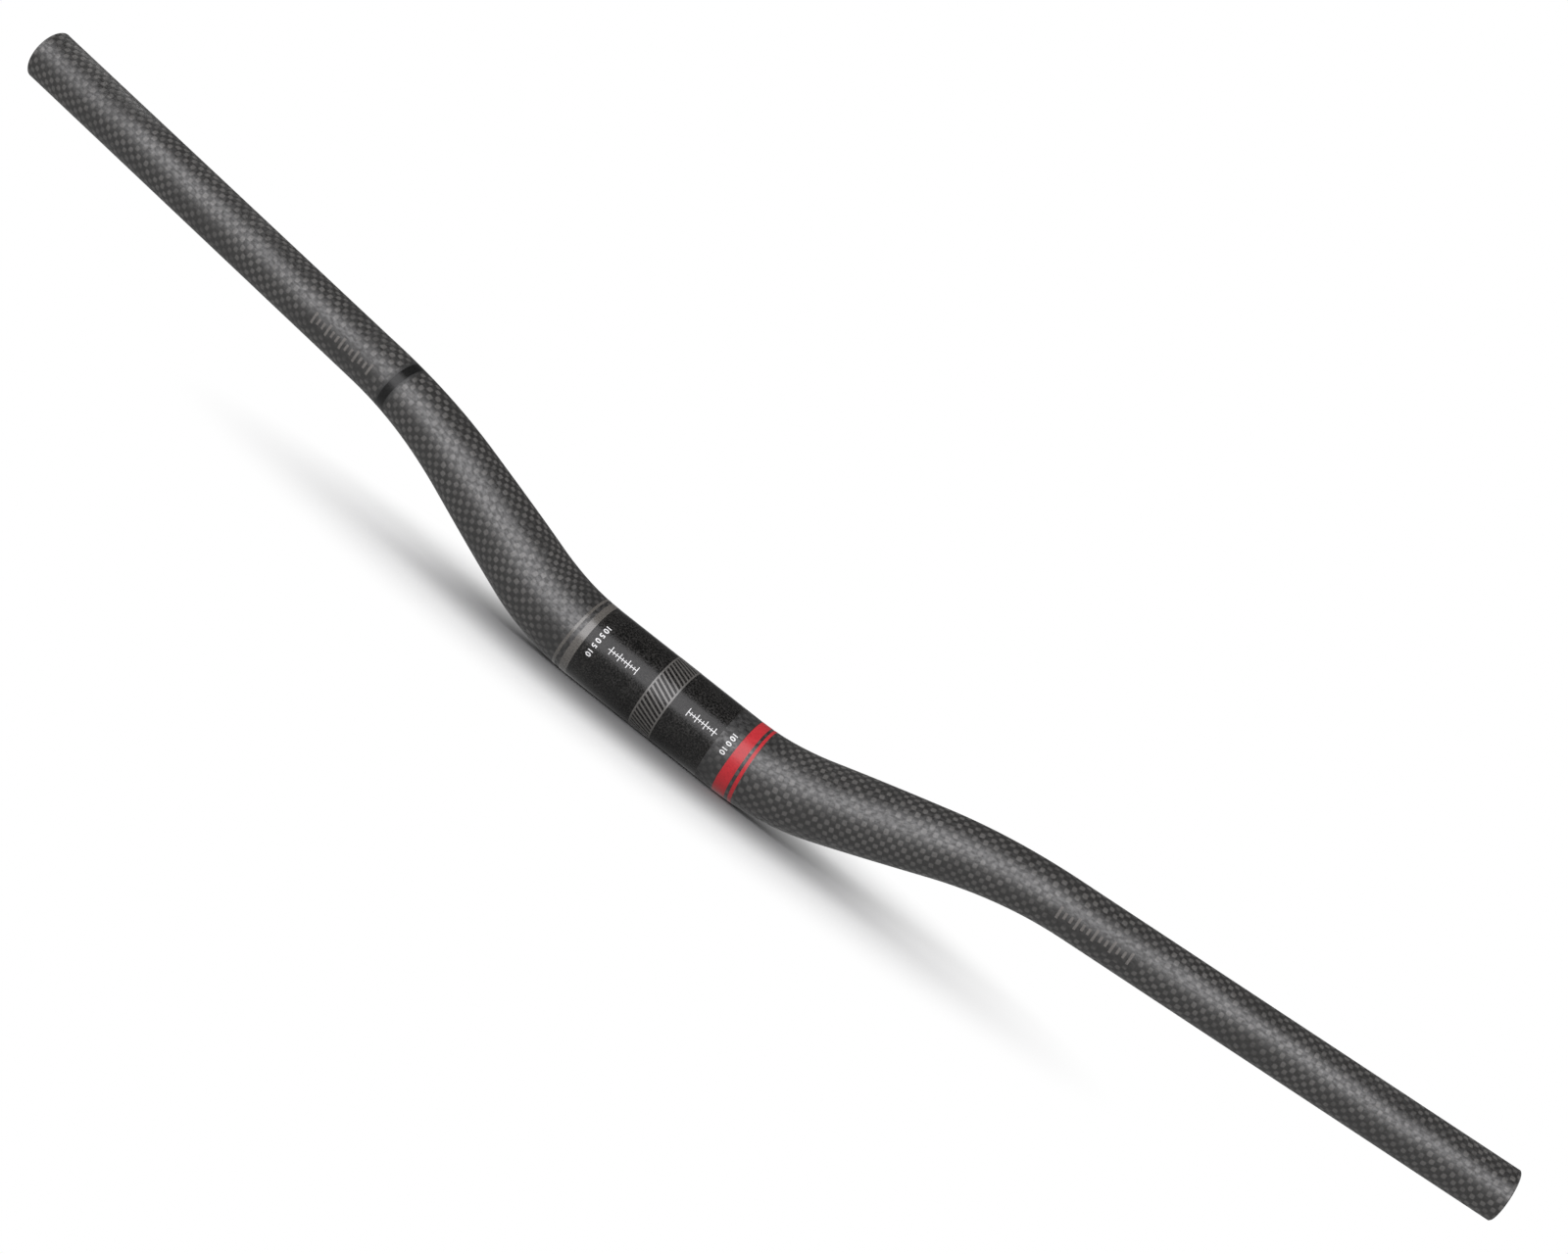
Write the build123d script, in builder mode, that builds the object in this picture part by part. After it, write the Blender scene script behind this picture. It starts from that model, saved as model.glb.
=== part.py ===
from build123d import *

import os
from math import ceil, radians, tan

# Riser handlebar: one hollow carbon-fibre tube, straight and thick where the stem clamps it, bent up
# on each side, then bent again into the two grips, and tapering from the clamp's size to the grips'.
# X runs along the clamp, Y to the rear, Z up; the origin is on the tube's axis at the middle of the clamp.

# The bar's line
width = 720.0  # between the centres of the two cut ends
rise = 30.0  # from the clamp's axis up to the corner where the grips begin
upsweep = radians(4.0)  # grips above level, seen from the front
backsweep = radians(8.0)  # grips behind square, seen from above
inner_corner_x = 53.0  # where the line turns up out of the clamp
outer_corner_x = 142.0  # where the line turns out along the grip
inner_bend_radius = 115.0
outer_bend_radius = 195.0

# The tube
clamp_diameter = 31.8
grip_diameter = 22.2
clamp_wall = 2.6
grip_wall = 2.2
taper_run_out = 5.0  # straight tube past the outer bend over which the taper fades out
edge_break = 0.4  # on the rims of the two cut ends

bar_end_x = width / 2
grip_run = bar_end_x - outer_corner_x
inner_corner = Vector(inner_corner_x, 0, 0)
outer_corner = Vector(outer_corner_x, 0, rise)
bar_end = outer_corner + Vector(grip_run, grip_run * tan(backsweep), grip_run * tan(upsweep))

clamp_radius = clamp_diameter / 2
grip_radius = grip_diameter / 2
clamp_bore_radius = clamp_radius - clamp_wall
grip_bore_radius = grip_radius - grip_wall

# The right half of the tube's axis: clamp, inner bend, rising leg, outer bend, grip
with BuildLine() as right_axis:
    FilletPolyline(
        (0, 0, 0),
        inner_corner,
        outer_corner,
        bar_end,
        radius=(inner_bend_radius, outer_bend_radius),
    )
axis = right_axis.wire()
clamp_line, inner_bend, leg, outer_bend, grip_line = right_axis.edges().sort_by(Axis.X)

# Stations, as lengths along the axis from the middle of the bar
clamp_end = clamp_line.length
taper_start = clamp_end + inner_bend.length / 2
taper_end = axis.length - grip_line.length + taper_run_out
grip_length = axis.length - taper_end
station_gap = 5.0  # between the rings that the tapering wall is drawn through, at most


def ring_plane(station):
    """The plane square to the axis at a station, facing outwards along the bar."""
    heading = axis.tangent_at(station, PositionMode.LENGTH)
    return Plane(
        axis.position_at(station, PositionMode.LENGTH),
        x_dir=heading.cross(Vector(0, 0, 1)),
        z_dir=heading,
    )


def eased_radius(station, thick, thin):
    """The wall's radius at a station: thick up to the taper, an even S-curve down to thin after it."""
    share = (station - taper_start) / (taper_end - taper_start)
    share = min(max(share, 0.0), 1.0)
    return thick + (thin - thick) * share * share * (3 - 2 * share)


def round_bar(thick, thin, overrun=0.0):
    """A solid round bar along the whole axis, carried past both cut ends by the overrun."""
    with BuildPart() as bar:
        gaps = ceil((taper_end - clamp_end) / station_gap)
        for ring in range(gaps + 1):
            station = clamp_end + (taper_end - clamp_end) * ring / gaps
            with BuildSketch(ring_plane(station)):
                Circle(eased_radius(station, thick, thin))
        loft()
        with BuildSketch(ring_plane(taper_end)):
            Circle(thin)
        extrude(amount=grip_length + overrun)
        mirror(about=Plane.YZ)
        with BuildSketch(Plane.YZ):
            Circle(thick)
        extrude(amount=clamp_end, both=True)
    return bar.part


# The moulded skin less the hollow, which is open at both ends of the bar
with BuildPart() as handlebar:
    add(round_bar(clamp_radius, grip_radius))
    add(round_bar(clamp_bore_radius, grip_bore_radius, overrun=grip_wall), mode=Mode.SUBTRACT)
    cut_ends = handlebar.faces().filter_by(GeomType.PLANE)
    chamfer(cut_ends.edges(), length=edge_break)
handlebar.part.label = "handlebar"

os.makedirs("parts", exist_ok=True)
export_step(handlebar.part, "parts/handlebar.step")
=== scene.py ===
from math import pi, radians

import bpy
from mathutils import Matrix, Vector


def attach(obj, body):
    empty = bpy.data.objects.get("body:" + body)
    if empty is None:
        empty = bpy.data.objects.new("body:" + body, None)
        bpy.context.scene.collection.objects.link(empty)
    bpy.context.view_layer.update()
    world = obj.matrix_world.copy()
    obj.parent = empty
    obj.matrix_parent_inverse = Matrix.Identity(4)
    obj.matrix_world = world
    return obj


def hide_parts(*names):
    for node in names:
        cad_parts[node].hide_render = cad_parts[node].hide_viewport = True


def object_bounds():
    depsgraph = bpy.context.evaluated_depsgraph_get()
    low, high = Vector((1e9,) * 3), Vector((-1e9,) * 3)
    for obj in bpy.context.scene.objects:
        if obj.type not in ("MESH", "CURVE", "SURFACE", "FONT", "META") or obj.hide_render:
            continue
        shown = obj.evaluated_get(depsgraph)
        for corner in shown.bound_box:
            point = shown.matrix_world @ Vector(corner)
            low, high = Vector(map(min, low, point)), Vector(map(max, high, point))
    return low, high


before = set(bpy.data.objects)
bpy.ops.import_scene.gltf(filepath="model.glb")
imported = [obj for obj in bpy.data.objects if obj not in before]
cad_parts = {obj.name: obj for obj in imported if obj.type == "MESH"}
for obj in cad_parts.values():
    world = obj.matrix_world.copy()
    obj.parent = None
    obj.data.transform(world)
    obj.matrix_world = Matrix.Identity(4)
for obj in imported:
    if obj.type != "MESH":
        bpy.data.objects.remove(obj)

cad_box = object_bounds()


# ---- Carbon tube ---------------------------------------------------------------------------------
# The bar itself: one hollow carbon-fibre tube, moulded round a bladder in a closed tool and cut
# square at both ends. Its outer ply is plain-weave cloth under lacquer, lapped along the rear
# underside, with a sandy coat at the middle for the stem and a ring of dark resin on the left arm.
bar_sizes = {
    "Width": 0.720,
    "Rise": 0.030,
    "Upsweep": radians(4.0),
    "Backsweep": radians(8.0),
    "Inner corner": 0.053,
    "Outer corner": 0.142,
    "Inner bend radius": 0.115,
    "Outer bend radius": 0.195,
}
tube_sizes = {
    "Clamp radius": 0.0159,
    "Grip radius": 0.0111,
    "Clamp wall": 0.0026,
    "Grip wall": 0.0022,
    "Taper start": 0.0528336,
    "Taper end": 0.1796721,
    "Edge break": 0.0004,
    "Clamp zone left end": -0.0360,
    "Clamp zone right end": 0.0273,
    "Soaked ring left end": -0.1609,
    "Soaked ring right end": -0.1573,
    "Lap angle": radians(-150.0),  # 0 is the front of the bar, 90 degrees its top
}
tube_counts = {"Rings": 417, "Bore rings": 122, "Facets": 72}
weld_gap = 1e-6


def feed(tree, socket, value):
    """Give an input its value: another node's result or a plain value."""
    if isinstance(value, bpy.types.NodeSocket):
        tree.links.new(value, socket)
    else:
        socket.default_value = value


def node(tree, kind, inputs=None, **settings):
    """Add a node to a tree. Its inputs are sockets or plain values, keyed by name or by place."""
    made = tree.nodes.new(kind)
    for name, value in settings.items():
        setattr(made, name, value)
    for key, value in (inputs or {}).items():
        feed(tree, made.inputs[key], value)
    return made


def reckon(tree, operation, *values):
    """One step of arithmetic on numbers; gives the socket of its result."""
    return node(tree, "ShaderNodeMath", dict(enumerate(values)), operation=operation).outputs[0]


def times(tree, first, second):
    return reckon(tree, "MULTIPLY", first, second)


def point(tree, operation, *values):
    """One step of arithmetic on points or directions; gives the socket of its result."""
    made = node(tree, "ShaderNodeVectorMath", dict(enumerate(values)), operation=operation)
    return made.outputs["Value" if operation == "LENGTH" else "Vector"]


def combine(tree, x, y, z):
    return node(tree, "ShaderNodeCombineXYZ", {0: x, 1: y, 2: z}).outputs[0]


def pick(tree, kind, place, choices):
    """The choice whose number is the place."""
    made = node(tree, "GeometryNodeIndexSwitch", data_type=kind)
    while len(made.index_switch_items) < len(choices):
        made.index_switch_items.new()
    for number, value in enumerate([place, *choices]):
        feed(tree, made.inputs[number], value)
    return made.outputs[0]


def moved(tree, geometry, **where):
    """Move each point of a geometry to a Position or by an Offset."""
    return node(tree, "GeometryNodeSetPosition", {"Geometry": geometry, **where}).outputs[0]


def new_tree(name, inputs, outputs):
    """An empty tree with inputs, given as name: (kind of socket, value), and named outputs."""
    tree = bpy.data.node_groups.new(name, "GeometryNodeTree")
    for label, (kind, value) in inputs.items():
        socket = tree.interface.new_socket(label, in_out="INPUT", socket_type="NodeSocket" + kind)
        if value is not None:
            socket.default_value = value
    for label, kind in outputs.items():
        tree.interface.new_socket(label, in_out="OUTPUT", socket_type="NodeSocket" + kind)
    given = tree.nodes.new("NodeGroupInput")
    result = tree.nodes.new("NodeGroupOutput")
    return tree, given.outputs, result.inputs


def floats(sizes):
    return {name: ("Float", value) for name, value in sizes.items()}


def bar_line():
    """The tube's axis from the left end to the right one, as a line with rounded corners."""
    corners, bend_facets = 6, 64
    outputs = {"Line": "Geometry", "Half length": "Float"}
    tree, given, result = new_tree("bar line", floats(bar_sizes), outputs)
    number = node(tree, "GeometryNodeInputIndex").outputs[0]
    centred = reckon(tree, "SUBTRACT", number, (corners - 1) / 2)
    side = reckon(tree, "SIGN", centred)
    place = reckon(tree, "SUBTRACT", reckon(tree, "ABSOLUTE", centred), 0.5)
    end_x = times(tree, given["Width"], 0.5)
    run = reckon(tree, "SUBTRACT", end_x, given["Outer corner"])
    end_y = times(tree, run, reckon(tree, "TANGENT", given["Backsweep"]))
    slope = reckon(tree, "TANGENT", given["Upsweep"])
    end_z = reckon(tree, "MULTIPLY_ADD", run, slope, given["Rise"])
    right_corner = pick(tree, "VECTOR", place, [
        combine(tree, given["Inner corner"], 0.0, 0.0),
        combine(tree, given["Outer corner"], 0.0, given["Rise"]),
        combine(tree, end_x, end_y, end_z),
    ])
    corner = point(tree, "MULTIPLY", right_corner, combine(tree, side, 1.0, 1.0))
    straight = node(tree, "GeometryNodeCurvePrimitiveLine").outputs[0]
    points = node(tree, "GeometryNodeResampleCurve", {"Curve": straight, "Count": corners})
    cornered = moved(tree, points.outputs[0], Position=corner)
    bend_radii = [given["Inner bend radius"], given["Outer bend radius"], 0.0]
    radius = pick(tree, "FLOAT", place, bend_radii)
    inputs = {"Curve": cornered, "Count": bend_facets, "Radius": radius}
    rounded = node(tree, "GeometryNodeFilletCurve", inputs, mode="POLY").outputs[0]
    length = node(tree, "GeometryNodeCurveLength", {0: rounded}).outputs[0]
    tree.links.new(rounded, result["Line"])
    tree.links.new(times(tree, length, 0.5), result["Half length"])
    return tree


def skin_point():
    """A point at a station along the axis, an angle round it and a radius from it."""
    numbers = ("Half length", "Station", "Angle", "Radius")
    inputs = {"Line": ("Geometry", None), **floats(dict.fromkeys(numbers, 0.0))}
    tree, given, result = new_tree("skin point", inputs, {"Position": "Vector"})
    length = reckon(tree, "ADD", given["Station"], given["Half length"])
    sample = node(
        tree, "GeometryNodeSampleCurve", {"Curves": given["Line"], "Length": length},
        mode="LENGTH", use_all_curves=True,
    ).outputs
    front = point(tree, "CROSS_PRODUCT", sample["Tangent"], (0.0, 0.0, 1.0))
    front = point(tree, "NORMALIZE", front)
    top = point(tree, "CROSS_PRODUCT", front, sample["Tangent"])
    forward = times(tree, given["Radius"], reckon(tree, "COSINE", given["Angle"]))
    upward = times(tree, given["Radius"], reckon(tree, "SINE", given["Angle"]))
    out = point(
        tree, "ADD",
        point(tree, "MULTIPLY", front, combine(tree, forward, forward, forward)),
        point(tree, "MULTIPLY", top, combine(tree, upward, upward, upward)),
    )
    tree.links.new(point(tree, "ADD", sample["Position"], out), result["Position"])
    return tree


bar_line_tree = bar_line()
skin_point_tree = skin_point()


def line_in(tree, given):
    """The bar's line and its half length, from a tree's own inputs."""
    inputs = {name: given[name] for name in bar_sizes}
    return node(tree, "GeometryNodeGroup", inputs, node_tree=bar_line_tree).outputs


def on_bar(tree, line, station, angle, radius):
    """The point at a station along the bar's line, an angle round it and a radius from it."""
    inputs = {
        "Line": line["Line"], "Half length": line["Half length"],
        "Station": station, "Angle": angle, "Radius": radius,
    }
    return node(tree, "GeometryNodeGroup", inputs, node_tree=skin_point_tree).outputs[0]


def ramp(tree, value, start, end, low, high, style="LINEAR"):
    """Goes from low to high while the value goes from start to end, and holds beyond them."""
    inputs = {0: value, 1: start, 2: end, 3: low, 4: high}
    return node(tree, "ShaderNodeMapRange", inputs, interpolation_type=style).outputs[0]


def taper(tree, given, station, thick, thin):
    """A radius at a station: thick up to the taper, an even S-curve down to thin after it."""
    distance = reckon(tree, "ABSOLUTE", station)
    start, end = given["Taper start"], given["Taper end"]
    return ramp(tree, distance, start, end, thick, thin, "SMOOTHSTEP")


def split(tree, vector):
    return node(tree, "ShaderNodeSeparateXYZ", {0: vector}).outputs


def wall(tree, rings, facets):
    """A flat sheet of rings by facets, and its fields along (-0.5 to 0.5) and turned (0 to 1)."""
    inputs = {"Vertices X": rings, "Vertices Y": reckon(tree, "ADD", facets, 1)}
    sheet = node(tree, "GeometryNodeMeshGrid", inputs).outputs["Mesh"]
    across = split(tree, node(tree, "GeometryNodeInputPosition").outputs[0])
    return sheet, across["X"], reckon(tree, "ADD", across["Y"], 0.5)


def between(tree, value, low, high):
    """Whether a number lies between two others."""
    over = node(tree, "FunctionNodeCompare", {0: value, 1: low}, operation="GREATER_THAN")
    under = node(tree, "FunctionNodeCompare", {0: value, 1: high}, operation="LESS_THAN")
    both = {0: over.outputs[0], 1: under.outputs[0]}
    return node(tree, "FunctionNodeBooleanMath", both, operation="AND").outputs[0]


def keep(tree, geometry, name, kind, value, domain="CORNER"):
    """Store a value on the mesh under a name, for its materials, the export or a later step."""
    made = node(
        tree, "GeometryNodeStoreNamedAttribute", {"Geometry": geometry, "Name": name},
        data_type=kind, domain=domain,
    )
    feed(tree, next(s for s in made.inputs if s.name == "Value" and s.enabled), value)
    return made.outputs[0]


def join(tree, geometries):
    made = node(tree, "GeometryNodeJoinGeometry")
    for geometry in geometries:
        tree.links.new(geometry, made.inputs[0])
    return made.outputs[0]


def weld(tree, geometry):
    """Merge the points that lie on each other."""
    inputs = {"Geometry": geometry, "Distance": weld_gap}
    return node(tree, "GeometryNodeMergeByDistance", inputs).outputs[0]


def smoothed(tree, geometry):
    """A geometry with smooth shading, and with its copies made real."""
    smooth = node(tree, "GeometryNodeSetShadeSmooth", {"Geometry": geometry}).outputs[0]
    return node(tree, "GeometryNodeRealizeInstances", {"Geometry": smooth}).outputs[0]


def carbon_tube():
    """Skin, bore and two cut ends as sheets of rings, welded, each face with its own finish."""
    finishes = ("Woven skin", "Clamp finish", "Soaked ring", "Bore", "Cut end")
    inputs = {
        **floats(bar_sizes), **floats(tube_sizes),
        **{name: ("Int", value) for name, value in tube_counts.items()},
        **{name: ("Material", None) for name in finishes},
    }
    tree, given, result = new_tree("carbon tube", inputs, {"Tube": "Geometry"})
    line = line_in(tree, given)
    clamp_bore = reckon(tree, "SUBTRACT", given["Clamp radius"], given["Clamp wall"])
    grip_bore = reckon(tree, "SUBTRACT", given["Grip radius"], given["Grip wall"])
    half = line["Half length"]
    inset = reckon(tree, "SUBTRACT", half, given["Edge break"])
    walls = []

    def place(sheet, station, turn, radius):
        angle = reckon(tree, "MULTIPLY_ADD", turn, 2 * pi, given["Lap angle"])
        cloth = combine(tree, station, times(tree, angle, radius), 0.0)
        sheet = keep(tree, sheet, "turn", "FLOAT", turn)
        sheet = keep(tree, sheet, "cloth", "FLOAT2", cloth)
        sheet = keep(tree, sheet, "ply", "FLOAT", radius)
        return sheet, on_bar(tree, line, station, angle, radius)

    def finish_wall(sheet, position, across, up, finish):
        sheet = keep(tree, sheet, "OFBake", "FLOAT2", combine(tree, across, up, 0.0))
        sheet = keep(tree, sheet, "finish", "INT", finish, "FACE")
        walls.append(moved(tree, sheet, Position=position))

    # Skin: its bake map is cut into three strips, one above the other
    strips, strip_step, strip_height, strip_foot = 3, 0.30, 0.29, 0.002
    sheet, along, turn = wall(tree, reckon(tree, "ADD", given["Rings"], 1), given["Facets"])
    station = times(tree, along, times(tree, inset, 2.0))
    radius = taper(tree, given, station, given["Clamp radius"], given["Grip radius"])
    sheet, position = place(sheet, station, turn, radius)
    share = times(tree, reckon(tree, "ADD", along, 0.5), float(strips))
    strip = node(
        tree, "GeometryNodeFieldOnDomain", {0: reckon(tree, "FLOOR", share)},
        domain="FACE", data_type="FLOAT",
    ).outputs[0]
    tall = reckon(tree, "DIVIDE", times(tree, radius, strip_height), given["Clamp radius"])
    foot = reckon(tree, "MULTIPLY_ADD", strip, strip_step, strip_foot)
    up = reckon(tree, "MULTIPLY_ADD", turn, tall, foot)
    finish = finishes.index("Woven skin")
    for name, zone in (("Clamp finish", "Clamp zone"), ("Soaked ring", "Soaked ring")):
        inside = between(tree, station, given[zone + " left end"], given[zone + " right end"])
        finish = reckon(tree, "MULTIPLY_ADD", inside, finishes.index(name), finish)
    finish_wall(sheet, position, reckon(tree, "SUBTRACT", share, strip), up, finish)

    # Bore: the same way round, from the right end to the left one, so that it faces the axis
    bore_height, bore_foot = 0.05, 0.90  # on the bake map, above the skin
    sheet, along, turn = wall(tree, reckon(tree, "ADD", given["Bore rings"], 1), given["Facets"])
    station = times(tree, along, times(tree, inset, -2.0))
    radius = taper(tree, given, station, clamp_bore, grip_bore)
    sheet, position = place(sheet, station, turn, radius)
    across = reckon(tree, "ADD", along, 0.5)
    up = reckon(tree, "MULTIPLY_ADD", turn, bore_height, bore_foot)
    finish_wall(sheet, position, across, up, finishes.index("Bore"))

    # Cut ends: an edge break, the flat cut and the bore's edge break
    rim_rings = 4
    rim_width, rim_left, rim_height, rim_middle = 0.48, 0.01, 0.03, 0.975  # on the bake map's top
    for side, start in ((1.0, 0.0), (-1.0, 0.5)):
        sheet, along, turn = wall(tree, rim_rings, given["Facets"])
        last = rim_rings - 1
        ring = reckon(tree, "ROUND", reckon(tree, "MULTIPLY_ADD", along, side * last, last / 2))
        radius = pick(tree, "FLOAT", ring, [
            given["Grip radius"],
            reckon(tree, "SUBTRACT", given["Grip radius"], given["Edge break"]),
            reckon(tree, "ADD", grip_bore, given["Edge break"]),
            grip_bore,
        ])
        distance = pick(tree, "FLOAT", ring, [inset, half, half, inset])
        sheet, position = place(sheet, times(tree, distance, side), turn, radius)
        across = reckon(tree, "MULTIPLY_ADD", turn, rim_width, start + rim_left)
        up = reckon(tree, "MULTIPLY_ADD", along, rim_height, rim_middle)
        finish_wall(sheet, position, across, up, finishes.index("Cut end"))

    painted = smoothed(tree, weld(tree, join(tree, walls)))
    finish = node(
        tree, "GeometryNodeInputNamedAttribute", {"Name": "finish"}, data_type="INT"
    ).outputs[0]
    for number, name in enumerate(finishes):
        here = between(tree, finish, number - 0.5, number + 0.5)
        inputs = {"Geometry": painted, "Selection": here, "Material": given[name]}
        painted = node(tree, "GeometryNodeSetMaterial", inputs).outputs[0]
    tree.links.new(painted, result["Tube"])
    return tree


def build(name, tree, values):
    """Run a tree with the named values and return its result as a plain mesh object."""
    sharp_angle = radians(35.0)
    carrier = bpy.data.objects.new(name, bpy.data.meshes.new(name))
    bpy.context.scene.collection.objects.link(carrier)
    nodes = carrier.modifiers.new("nodes", "NODES")
    nodes.node_group = tree
    for socket in tree.interface.items_tree:
        if socket.in_out == "INPUT" and socket.name in values:
            nodes[socket.identifier] = values[socket.name]
    evaluated = carrier.evaluated_get(bpy.context.evaluated_depsgraph_get())
    mesh = bpy.data.meshes.new_from_object(evaluated)
    carrier.modifiers.remove(nodes)
    blank = carrier.data
    carrier.data = mesh
    bpy.data.meshes.remove(blank)
    mesh.name = name
    mesh.set_sharp_from_angle(angle=sharp_angle)
    return carrier


def new_material(name):
    """An empty material, its tree and its shader."""
    material = bpy.data.materials.new(name)
    material.use_nodes = True
    tree = material.node_tree
    return material, tree, tree.nodes["Principled BSDF"]


def grey(value, warmth=0.0):
    return (value * (1 + warmth), value, value * (1 - warmth), 1.0)


def blend(tree, share, first, second):
    """A colour between two colours."""
    inputs = {0: share, 6: first, 7: second}
    return node(tree, "ShaderNodeMix", inputs, data_type="RGBA").outputs[2]


def blend_number(tree, share, first, second):
    """A number between two numbers."""
    return node(tree, "ShaderNodeMix", {0: share, 2: first, 3: second}).outputs[0]


def noise(tree, vector, scale, detail):
    inputs = {"Vector": vector, "Scale": scale, "Detail": detail}
    return node(tree, "ShaderNodeTexNoise", inputs).outputs["Fac"]


def streaks(tree, cloth, along, round_way, detail):
    """Noise on the cloth's map, with so many waves a metre along the bar and round it."""
    inputs = {"Vector": cloth, "Scale": (along, round_way, 1)}
    return noise(tree, node(tree, "ShaderNodeMapping", inputs).outputs[0], 1.0, detail)


def dress(tree, shader, colour, rough, gloss, height, depth, strength):
    """Give a shader its colour, roughness, gloss and fine relief; returns the relief's node."""
    tree.links.new(colour, shader.inputs["Base Color"])
    tree.links.new(rough, shader.inputs["Roughness"])
    shader.inputs["Specular IOR Level"].default_value = gloss
    inputs = {"Strength": strength, "Distance": depth, "Height": height}
    relief = node(tree, "ShaderNodeBump", inputs)
    tree.links.new(relief.outputs[0], shader.inputs["Normal"])
    return relief


def woven_skin():
    """Plain-weave carbon under satin lacquer: hoop tows are light dots between dark axial tows."""
    tow_along, tow_round = 0.00220, 0.00245
    tow_depth, tow_strength = 0.00004, 0.7
    thread_height, fleck_height = 0.15, 0.9  # beside a tow's crown of 1
    wander_scale, wander_reach = 60.0, 0.0028  # the tows don't run quite straight
    wave_scale, wave_depth = 18.0, 0.0060  # the bladder has left the wall a little wavy
    lap_width = 0.004  # of a full turn
    dot_start, dot_full = -0.10, 0.54  # of the weave, from -1 on an axial tow to 1 on a hoop tow
    crossing_spread, patch_spread, thread_spread = (0.60, 1.30), (0.60, 1.20), (0.75, 1.25)
    fleck_spread = (1.32, 0.74)  # on roughness; those above are on a dot's lightness
    dark, light, soaked = grey(0.0125, 0.06), grey(0.062, 0.05), grey(0.0035)
    rough_between, rough_on_dots, rough_soaked, gloss = 0.440, 0.405, 0.60, 0.85
    coat_edge, weave_clear, rough_clear = 0.028, 0.056, 0.040  # from the bar's middle
    weave_at_coat, rough_at_coat = 0.30, 1.35  # beside 1 on the arms
    ring_place, ring_half, ring_fade = -0.1591, 0.0017, 0.0020  # of the ring of dark resin
    # The lever scales lie on patches of the cloth where little of the weave shows
    scale_place, scale_half = (0.1855, -0.0021), (0.0175, 0.0034)  # along and round
    scale_fade, weave_at_scale = (0.0030, 0.0016), 0.15
    material, tree, shader = new_material("woven_carbon")
    cloth = node(tree, "ShaderNodeUVMap", uv_map="cloth").outputs[0]
    place = node(tree, "ShaderNodeTexCoord").outputs["Object"]

    def off(value, middle, half, fade):
        """0 within half of the middle, 1 when further off than the fade as well."""
        away = reckon(tree, "ABSOLUTE", reckon(tree, "SUBTRACT", value, middle))
        return ramp(tree, away, half, half + fade, 0.0, 1.0, "SMOOTHSTEP")

    # The tows wander a little, and each crossing is a little lighter or darker than the next
    inputs = {"Vector": place, "Scale": wander_scale, "Detail": 2.0}
    wander = node(tree, "ShaderNodeTexNoise", inputs).outputs["Color"]
    wander = point(tree, "SUBTRACT", wander, (0.5, 0.5, 0.5))
    wander = point(tree, "MULTIPLY", wander, (wander_reach, wander_reach, 0.0))
    tows = point(tree, "ADD", cloth, wander)
    tows = point(tree, "MULTIPLY", tows, (1 / tow_along, 1 / tow_round, 0.0))
    waves = split(tree, point(tree, "MULTIPLY", tows, (pi, pi, 0.0)))
    weave = times(tree, reckon(tree, "SINE", waves["X"]), reckon(tree, "SINE", waves["Y"]))
    inputs = {"Vector": point(tree, "FLOOR", tows)}
    crossing = node(tree, "ShaderNodeTexWhiteNoise", inputs, noise_dimensions="2D").outputs["Value"]
    patches = streaks(tree, cloth, 30, 90, 1.0)
    dots = ramp(tree, weave, dot_start, dot_full, 0.0, 1.0, "SMOOTHSTEP")
    dots = times(tree, dots, ramp(tree, crossing, 0.0, 1.0, *crossing_spread))
    dots = times(tree, dots, ramp(tree, patches, 0.35, 0.65, *patch_spread))

    # The weave fades out towards the clamp's coat, the ring of resin and the lever scales
    spot = split(tree, cloth)
    distance = reckon(tree, "ABSOLUTE", spot["X"])
    near_clamp = ramp(tree, distance, coat_edge, weave_clear, weave_at_coat, 1.0)
    off_ring = off(spot["X"], ring_place, ring_half, ring_fade)
    off_scale = reckon(
        tree, "MAXIMUM",
        off(distance, scale_place[0], scale_half[0], scale_fade[0]),
        off(spot["Y"], scale_place[1], scale_half[1], scale_fade[1]),
    )
    dots = times(tree, dots, ramp(tree, off_scale, 0.0, 1.0, weave_at_scale, 1.0))

    # Fibres: fine threads along each tow, and flecks where bundles of them catch the light
    axial_threads = streaks(tree, cloth, 500, 7000, 2.0)
    hoop_threads = streaks(tree, cloth, 7000, 500, 2.0)
    threads = blend_number(tree, dots, axial_threads, hoop_threads)
    flecks = streaks(tree, cloth, 520, 950, 3.0)
    dots = times(tree, dots, ramp(tree, threads, 0.25, 0.75, *thread_spread))
    dry = times(tree, off_ring, near_clamp)
    colour = blend(tree, dry, soaked, blend(tree, dots, dark, light))
    rough = ramp(tree, dots, 0.0, 1.0, rough_between, rough_on_dots)
    rough = times(tree, rough, ramp(tree, flecks, 0.40, 0.60, *fleck_spread))
    rough = times(tree, rough, ramp(tree, distance, coat_edge, rough_clear, rough_at_coat, 1.0))
    rough = blend_number(tree, off_ring, rough_soaked, rough)

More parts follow.
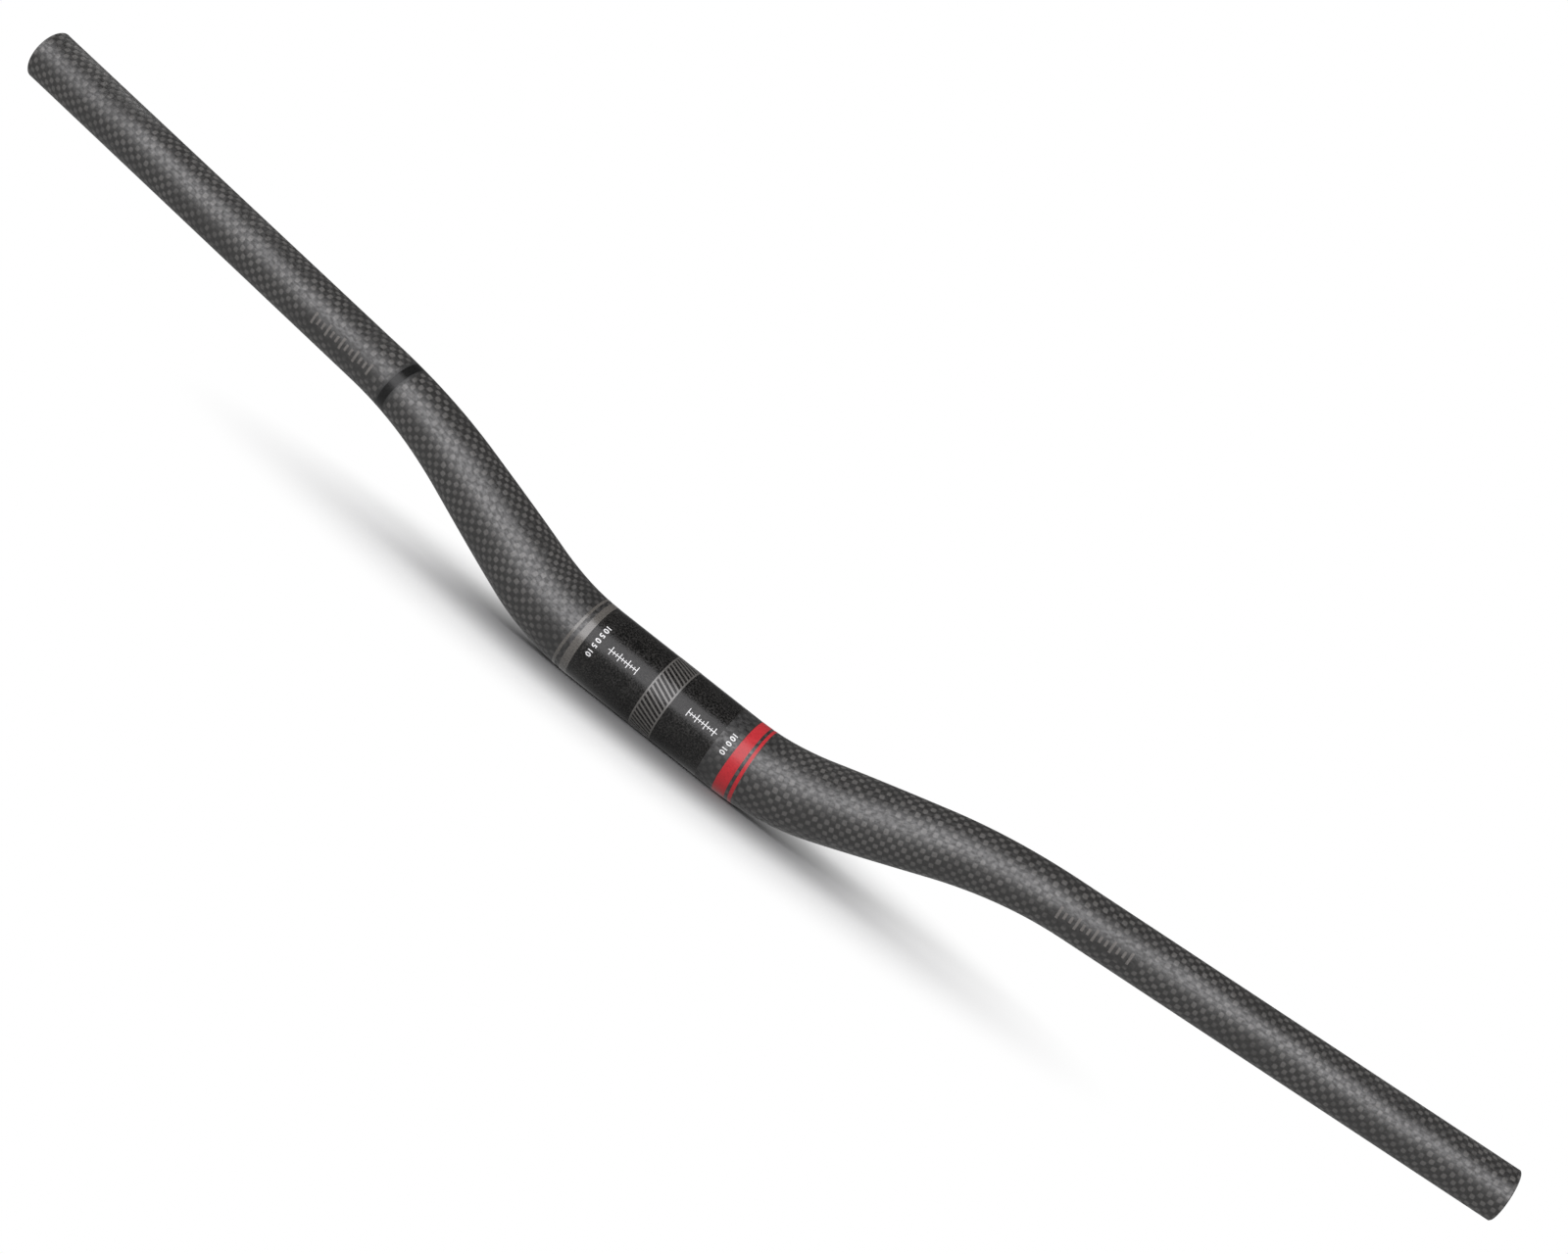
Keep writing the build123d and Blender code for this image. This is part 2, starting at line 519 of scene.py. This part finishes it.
    # Relief: each tow is crowned, with fibres standing on it, and the lap makes a low step
    turn = node(tree, "ShaderNodeAttribute", attribute_name="turn").outputs["Fac"]
    lap = ramp(tree, turn, 0.0, lap_width, 1.0, 0.0)
    crown = reckon(tree, "MULTIPLY_ADD", threads, thread_height, reckon(tree, "ABSOLUTE", weave))
    height = reckon(tree, "ADD", reckon(tree, "MULTIPLY_ADD", flecks, fleck_height, crown), lap)
    strength = times(tree, off_ring, tow_strength)
    relief = dress(tree, shader, colour, rough, gloss, height, tow_depth, strength)
    waviness = noise(tree, place, wave_scale, 1.0)
    inputs = {"Strength": 1.0, "Distance": wave_depth, "Height": waviness}
    tree.links.new(node(tree, "ShaderNodeBump", inputs).outputs[0], relief.inputs["Normal"])
    return material


def clamp_finish():
    """The clamp's grip: a thin, dark, fine-grained coat on the cloth, thinner left of the stem."""
    coat_end, thin_start = -0.0275, -0.0295
    grain_scale, cloud_scale, grain_depth, gloss = 1500.0, 300.0, 0.00006, 0.34
    material, tree, shader = new_material("clamp_grain")
    place = node(tree, "ShaderNodeTexCoord").outputs["Object"]
    thin = ramp(tree, split(tree, place)["X"], thin_start, coat_end, 1.0, 0.0)
    grain = noise(tree, place, grain_scale, 4.0)
    cloud = noise(tree, place, cloud_scale, 2.0)
    speckle = ramp(tree, grain, 0.40, 0.75, 0.0, 1.0)
    speckle = times(tree, speckle, ramp(tree, cloud, 0.3, 0.7, 0.6, 1.0))
    coat = blend(tree, speckle, grey(0.002, 0.05), grey(0.030, 0.05))
    thin_coat = blend(tree, speckle, grey(0.004, 0.05), grey(0.032, 0.05))
    colour = blend(tree, thin, coat, thin_coat)
    rough = ramp(tree, grain, 0.3, 0.7, 0.17, 0.33)
    dress(tree, shader, colour, rough, gloss, grain, grain_depth, strength=0.6)
    return material


def soaked_ring():
    """A narrow ring on the left arm where dark resin has soaked the cloth and hides its weave."""
    grain_scale, grain_depth, gloss = 900.0, 0.00004, 0.34
    material, tree, shader = new_material("dark_resin")
    grain = noise(tree, node(tree, "ShaderNodeTexCoord").outputs["Object"], grain_scale, 3.0)
    colour = blend(tree, grain, grey(0.002), grey(0.008))
    rough = ramp(tree, grain, 0.3, 0.7, 0.26, 0.36)
    dress(tree, shader, colour, rough, gloss, grain, grain_depth, strength=0.3)
    return material


def cut_end():
    """The sawn and sanded end of the laminate: its plies show as fine rings."""
    ply, scratch_scale, scratch_depth, gloss = 0.00028, 3000.0, 0.00002, 0.5
    material, tree, shader = new_material("cut_plies")
    radius = node(tree, "ShaderNodeAttribute", attribute_name="ply").outputs["Fac"]
    place = node(tree, "ShaderNodeTexCoord").outputs["Object"]
    rings = reckon(tree, "SINE", times(tree, radius, 2 * pi / ply))
    scratches = noise(tree, place, scratch_scale, 3.0)
    light = ramp(tree, rings, -1.0, 1.0, 0.2, 1.0)
    light = times(tree, light, ramp(tree, scratches, 0.3, 0.7, 0.6, 1.0))
    colour = blend(tree, light, grey(0.012), grey(0.055))
    rough = ramp(tree, scratches, 0.3, 0.7, 0.45, 0.65)
    dress(tree, shader, colour, rough, gloss, scratches, scratch_depth, strength=0.4)
    return material


def bore_face():
    """The wall that the bladder pressed: dull resin with soft lengthwise wrinkles."""
    wrinkle_depth, gloss = 0.0003, 0.5
    material, tree, shader = new_material("bladder_side")
    cloth = node(tree, "ShaderNodeUVMap", uv_map="cloth").outputs[0]
    wrinkle = streaks(tree, cloth, 60, 420, 4.0)
    colour = blend(tree, wrinkle, grey(0.008), grey(0.030))
    rough = ramp(tree, wrinkle, 0.3, 0.7, 0.35, 0.60)
    dress(tree, shader, colour, rough, gloss, wrinkle, wrinkle_depth, strength=0.6)
    return material


tube = build("carbon_tube", carbon_tube(), {
    **bar_sizes, **tube_sizes, **tube_counts,
    "Woven skin": woven_skin(), "Clamp finish": clamp_finish(), "Soaked ring": soaked_ring(),
    "Cut end": cut_end(), "Bore": bore_face(),
})
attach(tube, "root")
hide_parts("handlebar")


# ---- Centre band ---------------------------------------------------------------------------------
# A band of warm grey ink, screen-printed round the middle of the bar: two border lines with slanted
# stripes between them. Riders set the stem's face plate even with its edges.
ink_top, ink_root = 0.00004, 0.00003  # how far ink stands proud of the skin and goes into it
ink_depth = ink_top + ink_root
outer_sizes = ("Clamp radius", "Grip radius", "Taper start", "Taper end")
skin_sizes = {**bar_sizes, **{name: tube_sizes[name] for name in outer_sizes}}


def wrap_on_bar():
    """Lays flat print on the skin: x runs along the bar, y up round its front, z stands proud."""
    inputs = {"Flat": ("Geometry", None), **floats(skin_sizes)}
    tree, given, result = new_tree("wrap on bar", inputs, {"Wrapped": "Geometry"})
    flat = split(tree, node(tree, "GeometryNodeInputPosition").outputs[0])
    radius = taper(tree, given, flat["X"], given["Clamp radius"], given["Grip radius"])
    angle = reckon(tree, "DIVIDE", flat["Y"], radius)
    proud = reckon(tree, "ADD", radius, flat["Z"])
    position = on_bar(tree, line_in(tree, given), flat["X"], angle, proud)
    wrapped = moved(tree, given["Flat"], Position=position)
    tree.links.new(weld(tree, wrapped), result["Wrapped"])
    return tree


wrap_tree = wrap_on_bar()


def shifted(tree, geometry, along, round_way=0.0, up=0.0):
    inputs = {"Geometry": geometry, "Translation": combine(tree, along, round_way, up)}
    return node(tree, "GeometryNodeTransform", inputs).outputs[0]


def bar_of_ink(tree, long, wide, steps_along=2, steps_round=2):
    """A flat closed bar of ink round the origin; long along the bar, wide round it."""
    size = combine(tree, long, wide, ink_depth)
    inputs = {"Size": size, "Vertices X": steps_along, "Vertices Y": steps_round}
    cube = node(tree, "GeometryNodeMeshCube", inputs).outputs["Mesh"]
    return shifted(tree, cube, 0.0, up=ink_depth / 2 - ink_root)


def ring_of_ink(tree, wide, along, girth):
    """A ring of ink all round: a long bar less its two ends, which the wrapping welds together."""
    end_facing = 0.9
    flat = bar_of_ink(tree, wide, girth, steps_along=3, steps_round=145)
    facing = split(tree, node(tree, "GeometryNodeInputNormal").outputs[0])["Y"]
    inputs = {0: reckon(tree, "ABSOLUTE", facing), 1: end_facing}
    ends = node(tree, "FunctionNodeCompare", inputs, operation="GREATER_THAN").outputs[0]
    inputs = {"Geometry": flat, "Selection": ends}
    open_bar = node(tree, "GeometryNodeDeleteGeometry", inputs, domain="FACE").outputs[0]
    return shifted(tree, open_bar, along)


def repeated(tree, geometry, count, start, step):
    """Copies in a straight row."""
    inputs = {"Count": count, "Start Location": start, "Offset": step}
    row = node(tree, "GeometryNodeMeshLine", inputs).outputs[0]
    inputs = {"Points": row, "Instance": geometry}
    copies = node(tree, "GeometryNodeInstanceOnPoints", inputs).outputs[0]
    return node(tree, "GeometryNodeRealizeInstances", {"Geometry": copies}).outputs[0]


def print_tree(name, sizes, **others):
    """An empty tree of print with named sizes, the skin's sizes, other inputs and the ink."""
    inputs = {**floats(sizes), **floats(skin_sizes), **others, "Ink": ("Material", None)}
    return new_tree(name, inputs, {"Print": "Geometry"})


def printed(tree, given, result, flats):
    """Joins flat print, wraps it on the bar and inks it: the end of every tree of print."""
    inputs = {"Flat": join(tree, flats), **{name: given[name] for name in skin_sizes}}
    wrapped = node(tree, "GeometryNodeGroup", inputs, node_tree=wrap_tree).outputs[0]
    inputs = {"Geometry": smoothed(tree, wrapped), "Material": given["Ink"]}
    tree.links.new(node(tree, "GeometryNodeSetMaterial", inputs).outputs[0], result["Print"])
    return tree


def ink(name, colour, roughness, gloss=0.4):
    """Screen ink under the lacquer's sheen, uneven where the screen's mesh has left it thin."""
    mottle_scale, mottle_depth, thin_share, rough_spread = 1400.0, 0.00002, 0.78, 0.06
    material, tree, shader = new_material(name)
    place = node(tree, "ShaderNodeTexCoord").outputs["Object"]
    mottle = noise(tree, place, mottle_scale, 3.0)
    thin = (*(channel * thin_share for channel in colour), 1.0)
    full = (*colour, 1.0)
    shade = blend(tree, ramp(tree, mottle, 0.30, 0.55, 0.0, 1.0), thin, full)
    rough = ramp(tree, mottle, 0.3, 0.7, roughness - rough_spread, roughness + rough_spread)
    dress(tree, shader, shade, rough, gloss, mottle, mottle_depth, strength=0.2)
    return material


band_sizes = {
    "Border place": 0.00485,
    "Border width": 0.00070,
    "Stripe width": 0.00088,
    "Stripe drop": 0.41,  # down round the bar for each step to the right
}
stripe_count = 49


def hatched_band():
    tree, given, result = print_tree("hatched band", band_sizes, Stripes=("Int", stripe_count))
    girth = times(tree, given["Clamp radius"], 2 * pi)
    half_border = times(tree, given["Border width"], 0.5)
    reach = times(tree, reckon(tree, "SUBTRACT", given["Border place"], half_border), 2.0)
    stripe = bar_of_ink(tree, reach, given["Stripe width"], steps_along=13, steps_round=3)
    start = combine(tree, 0.0, times(tree, girth, -0.5), 0.0)
    pitch = combine(tree, 0.0, reckon(tree, "DIVIDE", girth, given["Stripes"]), 0.0)
    stripes = repeated(tree, stripe, given["Stripes"], start, pitch)
    along = split(tree, node(tree, "GeometryNodeInputPosition").outputs[0])["X"]
    drop = times(tree, times(tree, along, given["Stripe drop"]), -1.0)
    flats = [moved(tree, stripes, Offset=combine(tree, 0.0, drop, 0.0))]
    for side in (-1.0, 1.0):
        place = times(tree, given["Border place"], side)
        flats.append(ring_of_ink(tree, given["Border width"], place, girth))
    return printed(tree, given, result, flats)


band = build("centre_band", hatched_band(), {
    **band_sizes, **skin_sizes, "Stripes": stripe_count,
    "Ink": ink("warm_grey_ink", (0.068, 0.064, 0.059), roughness=0.36, gloss=1.1),
})
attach(band, "root")


# ---- Clamp scales --------------------------------------------------------------------------------
# Two white rules, screen-printed on the front of the clamp zone, one each side of the band. Each is
# a line with four long ticks and two short ones between each pair, to set the bar even in the stem.
scale_sizes = {
    "Line start": 0.01235,
    "Line end": 0.02620,
    "First tick": 0.0125,
    "Tick step": 0.00412,
    "Line width": 0.00030,
    "Long tick width": 0.00034,
    "Short tick width": 0.00026,
    "Long tick": 0.0035,
    "Short tick": 0.0017,
    "Print angle": radians(12.5),
}


def ruled_scale():
    long_ticks = 4
    tree, given, result = print_tree("ruled scale", scale_sizes, Side=("Float", 1.0))
    height = times(tree, given["Print angle"], given["Clamp radius"])

    def sided(value):
        return times(tree, value, given["Side"])

    length = reckon(tree, "SUBTRACT", given["Line end"], given["Line start"])
    middle = times(tree, reckon(tree, "ADD", given["Line end"], given["Line start"]), 0.5)
    rule = bar_of_ink(tree, length, given["Line width"], steps_along=9)
    flats = [shifted(tree, rule, sided(middle), height)]

    def tick_row(size, count, first):
        arm = reckon(tree, "SUBTRACT", given[size], given["Line width"])
        arm = times(tree, arm, 0.5)
        centre = times(tree, reckon(tree, "ADD", arm, given["Line width"]), 0.5)
        tick = bar_of_ink(tree, given[size + " width"], arm, steps_round=4)
        step = combine(tree, sided(given["Tick step"]), 0.0, 0.0)
        for up in (1.0, -1.0):
            place = reckon(tree, "MULTIPLY_ADD", centre, up, height)
            start = combine(tree, sided(first), place, 0.0)
            flats.append(repeated(tree, tick, count, start, step))

    tick_row("Long tick", long_ticks, given["First tick"])
    for share in (1 / 3, 2 / 3):
        first = reckon(tree, "MULTIPLY_ADD", given["Tick step"], share, given["First tick"])
        tick_row("Short tick", long_ticks - 1, first)
    return printed(tree, given, result, flats)


white_ink = ink("white_ink", (0.56, 0.56, 0.56), roughness=0.35)
scale_tree = ruled_scale()
for name, side in (("clamp_scale_left", -1.0), ("clamp_scale_right", 1.0)):
    scale = build(name, scale_tree, {**scale_sizes, **skin_sizes, "Side": side, "Ink": white_ink})
    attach(scale, "root")


# ---- Roll figures --------------------------------------------------------------------------------
# Small plain white figures, screen-printed round the bar just outside each rule, in degrees of
# roll. They read downwards round the front of the bar and help to set its turn in the stem.
figure_sizes = {
    "Figure size": 0.0032,
    "Word gap": 0.9,
    "Stroke gain": 0.00008,
    "Station": 0.0,
    "Middle angle": radians(12.5),
}


def roll_figures():
    fineness = 2
    tree, given, result = print_tree("roll figures", figure_sizes, Figures=("String", "0"))
    letters = node(
        tree, "GeometryNodeStringToCurves",
        {
            "String": given["Figures"], "Size": given["Figure size"],
            "Word Spacing": given["Word gap"],
        },
        font=bpy.data.fonts.load("<builtin>"), align_x="CENTER", align_y="MIDDLE",
    ).outputs[0]
    real = node(tree, "GeometryNodeRealizeInstances", {"Geometry": letters}).outputs[0]
    outlines = node(tree, "GeometryNodeResampleCurve", {"Curve": real}, mode="EVALUATED").outputs[0]
    heading = node(tree, "GeometryNodeInputTangent").outputs[0]
    outward = point(tree, "CROSS_PRODUCT", heading, (0.0, 0.0, 1.0))
    gain = combine(tree, given["Stroke gain"], given["Stroke gain"], 0.0)
    bold = moved(tree, outlines, Offset=point(tree, "MULTIPLY", outward, gain))
    filled = node(tree, "GeometryNodeFillCurve", {"Curve": bold}, mode="TRIANGLES").outputs[0]
    inputs = {"Mesh": filled, "Level": fineness}
    fine = node(tree, "GeometryNodeSubdivideMesh", inputs).outputs[0]
    inputs = {
        "Geometry": fine, "Translation": (0.0, 0.0, -ink_root), "Rotation": (0.0, 0.0, -pi / 2),
    }
    turned = node(tree, "GeometryNodeTransform", inputs).outputs[0]
    inputs = {
        "Mesh": turned, "Offset": (0.0, 0.0, 1.0), "Offset Scale": ink_depth, "Individual": False,
    }
    proud = node(tree, "GeometryNodeExtrudeMesh", inputs).outputs["Mesh"]
    under = node(tree, "GeometryNodeFlipFaces", {"Mesh": turned}).outputs[0]
    height = times(tree, given["Middle angle"], given["Clamp radius"])
    flat = shifted(tree, join(tree, (proud, under)), given["Station"], height)
    return printed(tree, given, result, [flat])


figure_tree = roll_figures()
for name, figures, station in (
    ("roll_figures_left", "10 5 0 5 10", -0.0313),
    ("roll_figures_right", "10 0 10", 0.0318),
):
    row = build(name, figure_tree, {
        **figure_sizes, **skin_sizes, "Figures": figures, "Station": station, "Ink": white_ink,
    })
    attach(row, "root")


# ---- Shoulder rings ------------------------------------------------------------------------------
# A wide and a narrow ring of ink round each shoulder, where the bar starts to bend up: red on the
# right and warm grey on the left. They are printed on the cloth, under the lacquer.
red_sizes = {
    "Wide ring": 0.0050,
    "Wide place": 0.0378,
    "Narrow ring": 0.0014,
    "Narrow place": 0.0424,
}
taupe_sizes = {
    "Wide ring": 0.0032,
    "Wide place": 0.0371,
    "Narrow ring": 0.0012,
    "Narrow place": 0.0412,
}


def ring_pair():
    tree, given, result = print_tree("ring pair", red_sizes, Side=("Float", 1.0))
    girth = times(tree, given["Clamp radius"], 2 * pi)
    rings = []
    for ring in ("Wide", "Narrow"):
        place = times(tree, given[ring + " place"], given["Side"])
        rings.append(ring_of_ink(tree, given[ring + " ring"], place, girth))
    return printed(tree, given, result, rings)


ring_tree = ring_pair()
taupe_ink = ink("taupe_ink", (0.074, 0.068, 0.061), roughness=0.28, gloss=1.0)
red_ink = ink("red_ink", (0.350, 0.016, 0.022), roughness=0.34)
for name, side, ring_sizes, ring_ink in (
    ("shoulder_rings_left", -1.0, taupe_sizes, taupe_ink),
    ("shoulder_rings_right", 1.0, red_sizes, red_ink),
):
    rings = build(name, ring_tree, {**ring_sizes, **skin_sizes, "Side": side, "Ink": ring_ink})
    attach(rings, "root")


# ---- Lever scales --------------------------------------------------------------------------------
# A row of plain grey ticks along the front of each grip's inner end, screen-printed, to set the
# brake levers at the same distance from the middle. Every third tick is longer.
lever_sizes = {
    "First tick": 0.1700,
    "Tick step": 0.0026,
    "Tick width": 0.0011,
    "Long tick": 0.0052,
    "Short tick": 0.0028,
    "Print angle": radians(-11.0),
}


def lever_scale():
    long_ticks, every = 5, 3
    tree, given, result = print_tree("lever scale", lever_sizes, Side=("Float", 1.0))
    height = times(tree, given["Print angle"], given["Grip radius"])
    long_step = times(tree, times(tree, given["Tick step"], float(every)), given["Side"])
    flats = []
    for skip in range(every):
        size, count = ("Short tick", long_ticks - 1) if skip else ("Long tick", long_ticks)
        first = reckon(tree, "MULTIPLY_ADD", given["Tick step"], float(skip), given["First tick"])
        start = combine(tree, times(tree, first, given["Side"]), height, 0.0)
        tick = bar_of_ink(tree, given["Tick width"], given[size], steps_round=9)
        flats.append(repeated(tree, tick, count, start, combine(tree, long_step, 0.0, 0.0)))
    return printed(tree, given, result, flats)


lever_tree = lever_scale()
grey_ink = ink("grey_ink", (0.108, 0.101, 0.095), roughness=0.38)
for name, side in (("lever_scale_left", -1.0), ("lever_scale_right", 1.0)):
    ticks = build(name, lever_tree, {**lever_sizes, **skin_sizes, "Side": side, "Ink": grey_ink})
    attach(ticks, "root")


# ---- Studio --------------------------------------------------------------------------------------
# A pale floor that the clamp rests on, a large soft box in front of the bar, two smaller ones
# behind it, a white surround and the camera. Near the bar's middle the floor shows only half the
# lamps' light and shadow, a painted grey pool, and a painted contact shadow darkest under the
# clamp.
floor_reach = 6.0
floor_z = cad_box[0][2]
floor_mesh = bpy.data.meshes.new("floor")
floor_mesh.from_pydata(
    [(x * floor_reach, y * floor_reach, floor_z) for x, y in ((-1, -1), (1, -1), (1, 1), (-1, 1))],
    [], [(0, 1, 2, 3)],
)
floor = bpy.data.objects.new("floor", floor_mesh)
bpy.context.scene.collection.objects.link(floor)


def pale_floor():
    """White card, painted darker near the bar: a grey pool of shade and a contact shadow."""
    shadow_near, shadow_far = 0.05, 0.22  # painted pool of shade, from the bar's middle
    shadow_squeeze = (0.95, 1.5, 0.0)  # the painted shadow is longer along the bar than across it
    lamp_share = 0.50  # of the lamps' light, near the bar's middle, with no own white: a painted grey pool
    contact_shadow_near, contact_shadow_far, contact_shadow_dark = 0.03, 0.13, 0.40  # painted contact shadow, darkest where the bar stands
    # Gloss mirrors a floor that is white well in front, with painted shade: greyer at the bar and
    # dark under the clamp
    front_edge, bar_edge, shaded_white_at_bar = -0.24, -0.06, 0.42
    foot, foot_near, foot_far, foot_shade_dark = (0.0, 0.015, floor_z), 0.016, 0.040, 0.22
    dull_grey = grey(0.45)
    material, tree, shader = new_material("pale_card")
    tree.nodes.remove(shader)
    place = node(tree, "ShaderNodeTexCoord").outputs["Object"]

    # What the camera sees: a painted pool of shade and a painted contact shadow near the bar
    distance = point(tree, "LENGTH", point(tree, "MULTIPLY", place, shadow_squeeze))
    # Painted contact shadow: the card is darkened close to where the clamp stands
    painted_contact_shadow = ramp(tree, distance, contact_shadow_near, contact_shadow_far, contact_shadow_dark, 1.0, "SMOOTHSTEP")
    lit = ramp(tree, distance, shadow_near, shadow_far, lamp_share, 0.0, "SMOOTHSTEP")
    lit = times(tree, lit, painted_contact_shadow)
    own = ramp(tree, distance, shadow_near, shadow_far, 0.0, 1.0, "SMOOTHSTEP")
    own = times(tree, own, painted_contact_shadow)
    card = node(tree, "ShaderNodeBsdfDiffuse", {"Color": combine(tree, lit, lit, lit)}).outputs[0]
    white = node(tree, "ShaderNodeEmission", {"Strength": own}).outputs[0]
    shown = node(tree, "ShaderNodeAddShader", {0: card, 1: white}).outputs[0]

    # What gloss mirrors, with painted shade near the bar and under the clamp, and what throws light
    # back
    from_foot = point(tree, "LENGTH", point(tree, "SUBTRACT", place, foot))
    # Painted shade that gloss mirrors: darkest on the floor just behind the clamp
    painted_shade_under_clamp = ramp(tree, from_foot, foot_near, foot_far, foot_shade_dark, 1.0)
    mirrored_painted_shade = ramp(tree, split(tree, place)["Y"], front_edge, bar_edge, 1.0, shaded_white_at_bar)
    strength = times(tree, mirrored_painted_shade, painted_shade_under_clamp)
    mirrored = node(tree, "ShaderNodeEmission", {"Strength": strength}).outputs[0]
    dull = node(tree, "ShaderNodeBsdfDiffuse", {"Color": dull_grey}).outputs[0]
    rays = node(tree, "ShaderNodeLightPath").outputs
    glossy = reckon(tree, "MAXIMUM", rays["Is Glossy Ray"], rays["Is Transmission Ray"])
    unseen = node(tree, "ShaderNodeMixShader", {0: glossy, 1: dull, 2: mirrored}).outputs[0]
    inputs = {0: rays["Is Camera Ray"], 1: unseen, 2: shown}
    seen = node(tree, "ShaderNodeMixShader", inputs).outputs[0]
    tree.links.new(seen, tree.nodes["Material Output"].inputs["Surface"])
    return material


floor_mesh.materials.append(pale_floor())


def white_surround():
    """White to the camera, plain light on things; gloss mirrors a pale horizon and a dark roof."""
    light, horizon, roof = 0.60, 0.52, 0.11  # of white
    horizon_top, roof_edge = 0.12, 0.35  # as heights on a ball of radius 1
    world = bpy.data.worlds.new("white surround")
    world.use_nodes = True
    tree = world.node_tree
    rays = node(tree, "ShaderNodeLightPath").outputs
    mirrored = reckon(tree, "MAXIMUM", rays["Is Glossy Ray"], rays["Is Transmission Ray"])
    upward = split(tree, node(tree, "ShaderNodeTexCoord").outputs["Generated"])["Z"]
    above = ramp(tree, upward, horizon_top, roof_edge, horizon, roof, "SMOOTHSTEP")
    shown = reckon(tree, "MAXIMUM", times(tree, mirrored, above), rays["Is Camera Ray"])
    seen = reckon(tree, "MAXIMUM", mirrored, rays["Is Camera Ray"])
    backdrop = tree.nodes["Background"]
    backdrop.inputs["Color"].default_value = (1.0, 1.0, 1.0, 1.0)
    tree.links.new(blend_number(tree, seen, light, shown), backdrop.inputs["Strength"])
    return world


bpy.context.scene.world = white_surround()


def soft_box(name, stand, aim, wide, tall, power, colour=(1.0, 1.0, 1.0)):
    lamp = bpy.data.lights.new(name, "AREA")
    lamp.shape, lamp.color = "RECTANGLE", colour
    lamp.size, lamp.size_y, lamp.energy = wide, tall, power
    box = bpy.data.objects.new(name, lamp)
    bpy.context.scene.collection.objects.link(box)
    box.visible_camera = False
    turn = (Vector(stand) - Vector(aim)).to_track_quat("Z", "Y").to_matrix().to_4x4()
    box.matrix_world = Matrix.Translation(stand) @ turn


cool_white = (0.985, 0.975, 1.0)
soft_box(
    "front_box", (-0.10, -1.05, 0.43), (-0.10, 0.0, 0.0),
    wide=2.6, tall=1.2, power=31.0, colour=cool_white,
)
for name, stand in (("rear_box_left", (-1.30, 0.55, 0.65)), ("rear_box_right", (1.15, 0.80, 0.65))):
    soft_box(name, stand, (0.0, 0.0, 0.0), wide=1.4, tall=1.0, power=8.0)

photo_width, focal_pixels, sensor_width = 1600, 4096.43, 36.0
camera_place = (0.240676, -1.489008, 0.185960)
right = Vector((0.77863462, 0.17110148, 0.60369894))
down = Vector((0.61017445, 0.0179165, -0.79206448))
forward = Vector((-0.14633958, 0.98509049, -0.09045135))
camera_data = bpy.data.cameras.new("camera")
camera_data.sensor_width = sensor_width
camera_data.lens = sensor_width * focal_pixels / photo_width
camera_data.clip_start = 0.05
camera = bpy.data.objects.new("camera", camera_data)
bpy.context.scene.collection.objects.link(camera)
turn = Matrix((right, -down, -forward)).transposed().to_4x4()
camera.matrix_world = Matrix.Translation(camera_place) @ turn
bpy.context.scene.camera = camera
bpy.context.scene.view_settings.view_transform = "Standard"
